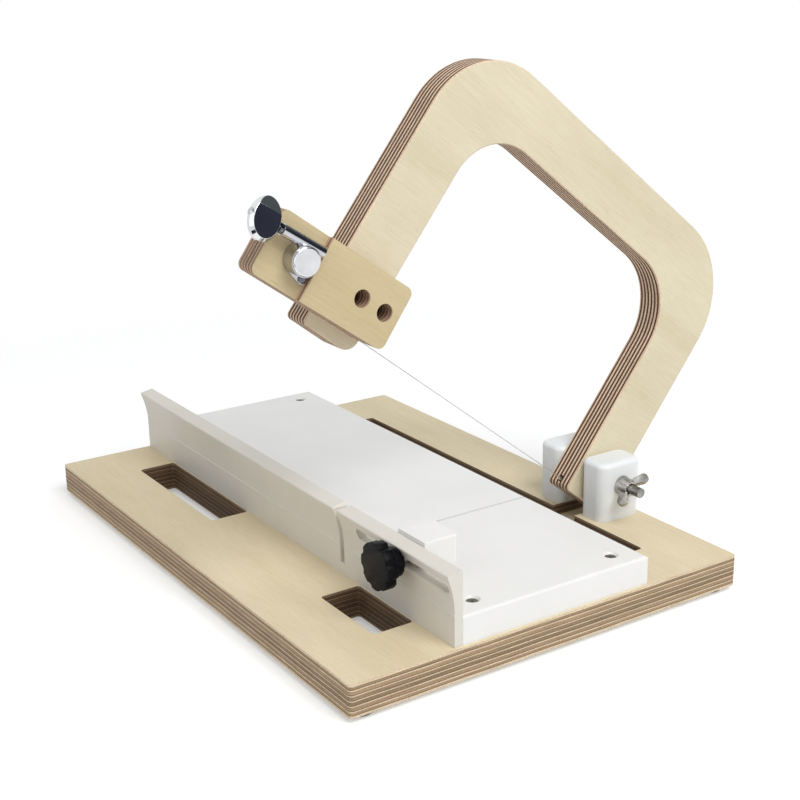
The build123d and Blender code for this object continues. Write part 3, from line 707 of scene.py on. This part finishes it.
class Shop:
    """Hand work on one piece at a time: primitives, cuts, bevels and the last clean-up."""

    def take(self, piece: Piece) -> None:
        """Make a piece the only one selected.

        Args:
            piece: The piece.
        """
        bpy.ops.object.select_all(action="DESELECT")
        piece.select_set(True)
        bpy.context.view_layer.objects.active = piece

    def copy_of(self, node: str, name: str) -> Piece:
        """Copy a node's mesh as a piece with joined corners.

        Args:
            node: Name of the node.
            name: Name of the piece.

        Returns:
            The copy.
        """
        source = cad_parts[node]
        mesh = source.data.copy()
        mesh.transform(source.matrix_world)
        mesh.materials.clear()
        piece = bpy.data.objects.new(name, mesh)
        bpy.context.scene.collection.objects.link(piece)
        self.clean(piece)
        return piece

    def cone(self, name: str, low: float, high: float, depth: float, corners: int) -> Piece:
        """Add a cone or cylinder that stands on the origin.

        Args:
            name: Name of the piece.
            low: Radius at the foot.
            high: Radius at the top.
            depth: Height.
            corners: Corners of its circle.

        Returns:
            The piece.
        """
        piece = add_piece(
            bpy.ops.mesh.primitive_cone_add,
            name,
            vertices=corners,
            radius1=low,
            radius2=high,
            depth=depth,
            location=(0.0, 0.0, depth / 2),
        )
        settle()
        return piece

    def move(self, piece: Piece, at: Triple, turn: Triple = (0.0, 0.0, 0.0)) -> None:
        """Turn and then move a piece, and keep its own place at the origin.

        Args:
            piece: The piece.
            at: Where its origin goes.
            turn: Turns about X, Y and Z, in degrees.
        """
        self.take(piece)
        piece.rotation_euler = [math.radians(angle) for angle in turn]
        piece.location = at
        settle()

    def modify(self, piece: Piece, kind: str, **settings: object) -> None:
        """Apply a modifier to a piece.

        Args:
            piece: The piece.
            kind: Blender's type name of the modifier.
            **settings: Its properties.
        """
        self.take(piece)
        step = piece.modifiers.new(kind.lower(), kind)
        for key, value in settings.items():
            setattr(step, key, value)
        bpy.ops.object.modifier_apply(modifier=step.name)

    def combine(self, piece: Piece, other: Piece, way: str) -> None:
        """Cut another piece out of a piece, or add it, and drop the other.

        Args:
            piece: The piece that stays.
            other: The other piece.
            way: DIFFERENCE or UNION.
        """
        self.modify(piece, "BOOLEAN", operation=way, solver="EXACT", object=other)
        bpy.data.objects.remove(other, do_unlink=True)

    def soften(self, piece: Piece, width: float, segments: int, angle: float) -> None:
        """Bevel a piece's sharp edges.

        Args:
            piece: The piece.
            width: Width of the bevel.
            segments: Steps across it.
            angle: Angle from which an edge is sharp, in degrees.
        """
        self.modify(
            piece,
            "BEVEL",
            width=width,
            segments=segments,
            limit_method="ANGLE",
            angle_limit=math.radians(angle),
        )

    def join(self, piece: Piece, other: Piece) -> None:
        """Make another piece part of a piece, as it is.

        Args:
            piece: The piece that stays.
            other: The other piece.
        """
        self.take(piece)
        other.select_set(True)
        bpy.ops.object.join()

    def clean(self, piece: Piece, smooth: float = ROUND_SHADING) -> None:
        """Join doubles, turn the faces outwards and shade the piece.

        Args:
            piece: The piece.
            smooth: Angle up to which edges look round, in degrees.
        """
        self.take(piece)
        bpy.ops.object.mode_set(mode="EDIT")
        bpy.ops.mesh.select_all(action="SELECT")
        bpy.ops.mesh.remove_doubles(threshold=DOUBLES)
        bpy.ops.mesh.normals_make_consistent(inside=False)
        bpy.ops.object.mode_set(mode="OBJECT")
        bpy.ops.object.shade_smooth_by_angle(angle=math.radians(smooth))

    def hand_over(
        self,
        piece: Piece,
        node: str,
        body: str,
        finish: Finish,
        smooth: float = ROUND_SHADING,
    ) -> None:
        """Finish a piece and let it stand for a node.

        Args:
            piece: The piece.
            node: The node that it stands for.
            body: Body that carries it.
            finish: Its finish.
            smooth: Angle up to which edges look round, in degrees.
        """
        self.clean(piece, smooth)
        piece.data.materials.clear()
        piece.data.materials.append(finish.material())
        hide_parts(node)
        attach(piece, body)
        log.info("%s stands for %s", piece.name, node)


@dataclass
class StopClamp:
    """The lobed knob and the stop block that it clamps."""

    centre: Triple = (134 * MM, -83 * MM, 52.5 * MM)
    radius: float = 12.75 * MM
    thickness: float = 6.4 * MM
    length: float = 13 * MM
    hub_radius: float = 8.25 * MM
    hub_end_radius: float = 8.0 * MM
    boss_foot_radius: float = 7.36 * MM
    boss_radius: float = 5.6 * MM
    boss_length: float = 1.9 * MM
    lobes: int = 8
    notch_radius: float = 3.0 * MM
    notch_offset: float = 1.86 * MM
    notch_depth: float = 19.2 * MM
    head_bevel: float = 0.55 * MM
    hub_bevel: float = 0.35 * MM
    sharp: float = 40.0
    raise_by: float = 1 * MM
    raised_band: float = 3 * MM

    def build(self, shop: Shop) -> None:
        """Make both pieces.

        Args:
            shop: The tools.
        """
        self.model_knob(shop)
        self.raise_block(shop)

    def model_knob(self, shop: Shop) -> None:
        """Model the knob with its notches, hub and boss.

        Args:
            shop: The tools.
        """
        knob = shop.cone("lobed_knob", self.radius, self.radius, self.thickness, corners=112)
        away = self.radius + self.notch_offset
        for lobe in range(self.lobes):
            angle = 2 * math.pi * (lobe + 0.5) / self.lobes
            notch = shop.cone(
                "notch", self.notch_radius, self.notch_radius, self.notch_depth, corners=40
            )
            shop.move(notch, (away * math.cos(angle), away * math.sin(angle), -self.thickness))
            shop.combine(knob, notch, "DIFFERENCE")
        shop.soften(knob, self.head_bevel, segments=3, angle=self.sharp)
        hub_length = self.length - self.thickness
        hub = shop.cone("hub", self.hub_radius, self.hub_end_radius, hub_length, corners=64)
        shop.move(hub, (0.0, 0.0, self.thickness - OVERLAP))
        shop.soften(hub, self.hub_bevel, segments=2, angle=self.sharp)
        shop.combine(knob, hub, "UNION")
        boss = shop.cone(
            "boss", self.boss_foot_radius, self.boss_radius, self.boss_length, corners=64
        )
        shop.move(boss, (0.0, 0.0, self.length - OVERLAP))
        shop.combine(knob, boss, "UNION")
        shop.move(knob, self.centre, (-90.0, 0.0, 0.0))
        shop.hand_over(knob, "star_knob", "knob", Finish.KNOB)

    def raise_block(self, shop: Shop) -> None:
        """Raise the top of a copy of the block.

        Args:
            shop: The tools.
        """
        block = shop.copy_of("stop_block", "raised_stop")
        corners = block.data.vertices
        top = max(corner.co.z for corner in corners)
        shop.take(block)
        for corner in corners:
            corner.select = corner.co.z > top - self.raised_band
        bpy.ops.object.mode_set(mode="EDIT")
        bpy.ops.mesh.select_mode(type="VERT")
        bpy.ops.transform.translate(value=(0.0, 0.0, self.raise_by))
        bpy.ops.object.mode_set(mode="OBJECT")
        shop.hand_over(block, "stop_block", "stop", Finish.BED, FLAT_SHADING)


@dataclass
class FenceGap:
    """The fence with the gap for the wire, wider than the cut in the bed."""

    plane: float = 74 * MM
    width: float = 4 * MM
    flare: float = 2 * MM
    bottom: float = 28 * MM
    top: float = 62 * MM
    clear: float = 1 * MM
    front: float = -72 * MM
    back: float = -59 * MM

    def build(self, shop: Shop) -> None:
        """Cut the gap in a copy of the fence.

        Args:
            shop: The tools.
        """
        fence = shop.copy_of("fence", "gapped_fence")
        cutter = add_piece(bpy.ops.mesh.primitive_cube_add, "gap", size=1.0)
        reach = self.top + self.clear - self.bottom
        cutter.scale = (self.width, self.back - self.front, reach)
        cutter.location = (self.plane, (self.back + self.front) / 2, self.bottom + reach / 2)
        settle()
        shop.combine(fence, cutter, "DIFFERENCE")
        for side in (-1, 1):
            wedge = shop.cone("wedge", self.flare, self.flare, self.back - self.front, corners=4)
            at = (self.plane + side * self.width / 2, self.front, self.top)
            shop.move(wedge, at, (-90.0, 0.0, 0.0))
            shop.combine(fence, wedge, "DIFFERENCE")
        shop.hand_over(fence, "fence", "base", Finish.FENCE, FLAT_SHADING)


@dataclass
class WoodScrews:
    """The bed's countersunk screws with their cross recesses."""

    level: float = 35.8 * MM
    tolerance: float = 0.5 * MM
    head: float = 3.15 * MM
    head_height: float = 1.2 * MM
    shank: float = 2.1 * MM
    length: float = 28.0 * MM
    arm: float = 1.7 * MM
    arm_foot: float = 0.935 * MM
    arm_share: float = 0.3
    cross_height: float = 1.4 * MM
    cross_lift: float = 0.2 * MM
    cross_turns: tuple[float, float] = (12.0, 102.0)

    def screw(self, shop: Shop) -> Piece:
        """Model one screw that stands on the origin.

        Args:
            shop: The tools.

        Returns:
            The screw.
        """
        screw = shop.cone("bed_screw_heads", self.shank, self.head, self.head_height, corners=48)
        shop.move(screw, (0.0, 0.0, self.length))
        shank = shop.cone("shank", self.shank, self.shank, self.length + OVERLAP, corners=48)
        shop.combine(screw, shank, "UNION")
        for turn in self.cross_turns:
            cross = shop.cone("cross", self.arm_foot, self.arm, self.cross_height, corners=4)
            cross.scale = (1.0, self.arm_share, 1.0)
            shop.move(cross, (0.0, 0.0, self.length + self.cross_lift), (0.0, 0.0, turn))
            shop.combine(screw, cross, "DIFFERENCE")
        return screw

    def build(self, shop: Shop) -> None:
        """Model a screw for every head that the node has.

        Args:
            shop: The tools.
        """
        heads = defaultdict(list)
        for corner in corners_of("bed_screws"):
            if corner.z > self.level - self.tolerance:
                heads[corner.x >= 0, corner.y >= 0].append(corner)
        screws = []
        for quarter in sorted(heads):
            x, y, _ = middle_of(heads[quarter])
            screw = self.screw(shop)
            shop.move(screw, (x, y, self.level - self.length - self.head_height))
            screws.append(screw)
        first, *others = screws
        for other in others:
            shop.join(first, other)
        shop.hand_over(first, "bed_screws", "base", Finish.DULL)


@dataclass
class CastWingNut:
    """The wing nut with the soft edges of a casting."""

    voxel: float = 0.28 * MM
    softness: float = 0.5
    rounds: int = 2

    def build(self, shop: Shop) -> None:
        """Soften a copy of the nut.

        Args:
            shop: The tools.
        """
        nut = shop.copy_of("wing_nut", "cast_wing_nut")
        shop.modify(nut, "REMESH", mode="VOXEL", voxel_size=self.voxel)
        shop.modify(nut, "SMOOTH", factor=self.softness, iterations=self.rounds)
        shop.hand_over(nut, "wing_nut", "wing_nut", Finish.ZINC)


@dataclass
class ThreadedBolt:
    """The pivot bolt with its thread, which shows beyond the wing nut."""

    start: float = 98 * MM
    longer: float = 5 * MM
    axis: tuple[float, float] = (110 * MM, 42.2 * MM)
    pitch: float = 1 * MM
    crest: float = 2.98 * MM
    root: float = 2.5 * MM

    def build(self, shop: Shop) -> None:
        """Cut the plain end off a copy of the bolt and extrude a thread ring by ring.

        Args:
            shop: The tools.
        """
        bolt = shop.copy_of("pivot_bolt", "threaded_bolt")
        end = max(vertex.co.x for vertex in bolt.data.vertices) + self.longer
        shop.take(bolt)
        bpy.ops.object.mode_set(mode="EDIT")
        bpy.ops.mesh.select_all(action="SELECT")
        bpy.ops.mesh.bisect(
            plane_co=(self.start, 0.0, 0.0),
            plane_no=(1.0, 0.0, 0.0),
            use_fill=True,
            clear_outer=True,
        )
        bpy.ops.object.mode_set(mode="OBJECT")
        circle = bpy.ops.mesh.primitive_circle_add
        thread = add_piece(circle, "thread", radius=self.root, vertices=36, fill_type="NGON")
        bpy.ops.object.mode_set(mode="EDIT")
        bpy.ops.mesh.select_all(action="SELECT")
        grow = self.crest / self.root
        step = {"value": (0.0, 0.0, self.pitch / 2)}
        for ring in range(round((end - self.start) / self.pitch * 2)):
            share = grow if ring % 2 == 0 else 1 / grow
            bpy.ops.mesh.extrude_region_move(TRANSFORM_OT_translate=step)
            bpy.ops.transform.resize(value=(share, share, 1.0), center_override=(0.0, 0.0, 0.0))
        bpy.ops.object.mode_set(mode="OBJECT")
        shop.move(thread, (self.start, *self.axis), (0.0, 90.0, 0.0))
        shop.join(bolt, thread)
        shop.hand_over(bolt, "pivot_bolt", "base", Finish.ZINC)


@dataclass
class Button:
    """The bevelled button: an oval with a straight ridge across each face."""

    half_length: float = 8.7 * MM
    half_width: float = 11.3 * MM
    along: Triple = (0.0, 0.837719, -0.546102)
    turn: float = 15.0
    half_face: float = 2.9 * MM
    half_rim: float = 0.9 * MM
    face_share: float = 0.87
    level_from: float = 0.9
    ridge: float = 4.6 * MM
    bevel: float = 0.3 * MM
    sharp: float = 12.0
    bore: float = 1.55 * MM
    bore_length: float = 9.7 * MM

    def build(self, shop: Shop) -> None:
        """Model the button and lay it where the node is.

        Args:
            shop: The tools.
        """
        middle = middle_of(corners_of("tuner_button"))
        button = shop.cone("bevelled_button", 1.0, 1.0, 2 * self.half_rim, corners=96)
        button.scale = (self.half_length, self.half_width, 1.0)
        shop.move(button, (0.0, 0.0, -self.half_rim))
        shop.take(button)
        for side in (-1, 1):
            self.raise_face(button, side)
        shop.clean(button)
        shop.soften(button, self.bevel, segments=3, angle=self.sharp)
        bore = shop.cone("bore", self.bore, self.bore, self.bore_length, corners=40)
        shop.move(bore, (0.0, 0.0, 0.0), (0.0, 90.0, 0.0))
        shop.combine(button, bore, "DIFFERENCE")
        self.lay(shop, button, middle)
        shop.hand_over(button, "tuner_button", "button", Finish.CHROME)

    def raise_face(self, button: Piece, side: int) -> None:
        """Draw a face of the button out and cut it off along its ridge.

        Args:
            button: The button, flat at the origin.
            side: Which face, -1 or 1.
        """
        rise = self.half_face - self.half_rim
        bpy.ops.object.mode_set(mode="EDIT")
        bpy.ops.mesh.select_all(action="DESELECT")
        bpy.ops.object.mode_set(mode="OBJECT")
        for face in button.data.polygons:
            face.select = face.normal.z * side > self.level_from
        bpy.ops.object.mode_set(mode="EDIT")
        bpy.ops.mesh.select_mode(type="FACE")
        bpy.ops.mesh.extrude_region_move(TRANSFORM_OT_translate={"value": (0.0, 0.0, side * rise)})
        bpy.ops.transform.resize(
            value=(self.face_share, self.face_share, 1.0),
            center_override=(0.0, 0.0, side * self.half_face),
        )
        fall = Vector((0.0, rise, self.half_width - self.ridge)).normalized()
        bpy.ops.mesh.select_all(action="SELECT")
        bpy.ops.mesh.bisect(
            plane_co=(0.0, side * self.ridge, side * self.half_face),
            plane_no=(0.0, side * fall.y, side * fall.z),
            use_fill=True,
            clear_outer=True,
        )
        bpy.ops.object.mode_set(mode="OBJECT")

    def lay(self, shop: Shop, button: Piece, middle: Triple) -> None:
        """Lay the button on its shaft.

        Args:
            shop: The tools.
            button: The button, flat at the origin.
            middle: Middle of the node.
        """
        along = Vector(self.along)
        outward = Vector((1.0, 0.0, 0.0))
        outward.rotate(Quaternion(along, math.radians(-self.turn)))
        turn = Matrix((along, outward.cross(along), outward)).transposed()
        shop.take(button)
        button.matrix_world = Matrix.Translation(middle) @ turn.to_4x4()
        settle()


@dataclass(frozen=True)
class Lamp:
    """A soft square lamp.

    Attributes:
        name: Its name.
        at: Where it hangs.
        size: Its side.
        power: Its power in watts.
    """

    name: str
    at: Triple
    size: float
    power: float

    def hang(self, aim: Triple) -> None:
        """Hang the lamp.

        Args:
            aim: Place that it faces.
        """
        light = bpy.data.lights.new(self.name, "AREA")
        light.shape = "SQUARE"
        light.size = self.size
        light.energy = self.power
        holder = bpy.data.objects.new(self.name, light)
        bpy.context.scene.collection.objects.link(holder)
        holder.location = self.at
        away = Vector(aim) - Vector(self.at)
        holder.rotation_euler = away.to_track_quat("-Z", "Y").to_euler()


@dataclass(frozen=True)
class Card:
    """A card that shows only in mirrors.

    Attributes:
        name: Its name.
        at: Where its middle stands.
        size: Its side.
        shade: Its colour.
    """

    name: str
    at: Triple
    size: float
    shade: Triple

    HIDDEN_FROM: ClassVar[tuple[str, ...]] = (
        "camera",
        "diffuse",
        "transmission",
        "volume_scatter",
        "shadow",
    )

    def stand(self, aim: Triple) -> None:
        """Stand the card.

        Args:
            aim: Place that it faces.
        """
        turn = (Vector(aim) - Vector(self.at)).to_track_quat("Z", "Y").to_euler()
        plane = bpy.ops.mesh.primitive_plane_add
        card = add_piece(plane, self.name, size=self.size, location=self.at, rotation=turn)
        graph = Graph(bpy.data.materials.new(self.name))
        graph.node("OutputMaterial", {"Surface": graph.shine("Emission", self.shade)})
        card.data.materials.append(graph.owner)
        for ray in self.HIDDEN_FROM:
            setattr(card, "visible_" + ray, False)


@dataclass
class Studio:
    """Pale floor, soft light, mirror cards and the camera."""

    lens: float = 64.765
    sensor: float = 36.0
    sight: float = 100.0
    eye: Triple = (0.6909, -0.4337, 0.3557)
    right: Triple = (0.55480, 0.83186, -0.01443)
    up: Triple = (-0.25130, 0.18408, 0.95025)
    sky: float = 0.52
    sky_colour: Triple = (0.97, 0.985, 1.0)
    white: Triple = (1.0, 1.0, 1.0)
    lamp_aim: Triple = (0.0, 0.0, 0.1)
    lamps: tuple[Lamp, ...] = (
        Lamp("key lamp", (1.25, 0.1, 1.55), 1.1, 22.5),
        Lamp("fill lamp", (0.4, -1.7, 0.9), 1.4, 3.0),
    )
    floor_radius: float = 30.0
    floor_shade: Triple = (0.82, 0.82, 0.82)
    floor_glow: Triple = (0.34, 0.34, 0.34)
    near_floor: float = 0.4
    far_floor: float = 0.62
    card_aim: Triple = (0.1, -0.1, 0.22)
    cards: tuple[Card, ...] = (
        Card("dark card", (0.379, 0.182, 0.271), 0.24, (0.035, 0.038, 0.055)),
        Card("grey card", (0.075, 0.335, 0.45), 0.56, (0.085, 0.1, 0.1)),
        Card("side card", (-0.06, -0.39, 0.43), 0.16, (0.02, 0.02, 0.025)),
        Card("low card", (0.3, -0.42, 0.02), 0.2, (0.03, 0.03, 0.035)),
    )

    def build(self) -> None:
        """Make the whole studio."""
        self.camera()
        self.world()
        for lamp in self.lamps:
            lamp.hang(self.lamp_aim)
        self.floor()
        for card in self.cards:
            card.stand(self.card_aim)
        bpy.context.scene.view_settings.view_transform = "Standard"

    def camera(self) -> None:
        """Place the camera where the photograph was taken from."""
        camera = bpy.data.cameras.new("camera")
        camera.lens = self.lens
        camera.sensor_width = self.sensor
        camera.clip_end = self.sight
        holder = bpy.data.objects.new("camera", camera)
        bpy.context.scene.collection.objects.link(holder)
        right = Vector(self.right).normalized()
        up = Vector(self.up)
        up = (up - right * up.dot(right)).normalized()
        turn = Matrix((right, up, right.cross(up))).transposed()
        holder.matrix_world = Matrix.Translation(self.eye) @ turn.to_4x4()
        bpy.context.scene.camera = holder

    def world(self) -> None:
        """Light everything softly, and show white where nothing stands."""
        graph = Graph(bpy.data.worlds.new("pale room"))
        soft = graph.shine("Background", self.sky_colour, self.sky)
        white = graph.shine("Background", self.white)
        both = graph.node("MixShader", {0: graph.seen(), 1: soft, 2: white})
        graph.node("OutputWorld", {"Surface": both.outputs[0]})
        bpy.context.scene.world = graph.owner

    def floor(self) -> None:
        """Lay a pale floor that keeps the cutter's shadow and fades to white."""
        circle = bpy.ops.mesh.primitive_circle_add
        floor = add_piece(circle, "floor", radius=self.floor_radius, vertices=96, fill_type="NGON")
        graph = Graph(bpy.data.materials.new("pale floor"))
        paper = graph.node("BsdfDiffuse", {"Color": (*self.floor_shade, 1.0)})
        seen = graph.seen()
        glow = graph.shine("Emission", self.floor_glow, seen)
        near = graph.node("AddShader", {0: paper.outputs[0], 1: glow})
        away = graph.node("VectorMath", {0: graph.place()}, operation="LENGTH").outputs["Value"]
        faded = graph.spread(away, self.near_floor, self.far_floor, 0.0, 1.0)
        far = graph.math("MULTIPLY", faded, seen)
        white = graph.shine("Emission", self.white)
        both = graph.node("MixShader", {0: far, 1: near.outputs[0], 2: white})
        graph.node("OutputMaterial", {"Surface": both.outputs[0]})
        floor.data.materials.append(graph.owner)


def main() -> None:
    """Build the studio, dress the nodes and make the fine pieces."""
    logging.basicConfig(level=logging.INFO, format="%(message)s")
    Studio().build()
    for finish, nodes in DRESSED.items():
        dress(finish, nodes)
    shop = Shop()
    for maker in (StopClamp(), FenceGap(), WoodScrews(), CastWingNut(), ThreadedBolt(), Button()):
        maker.build(shop)
    log.info("sizes written")


if __name__ == "__main__":
    main()
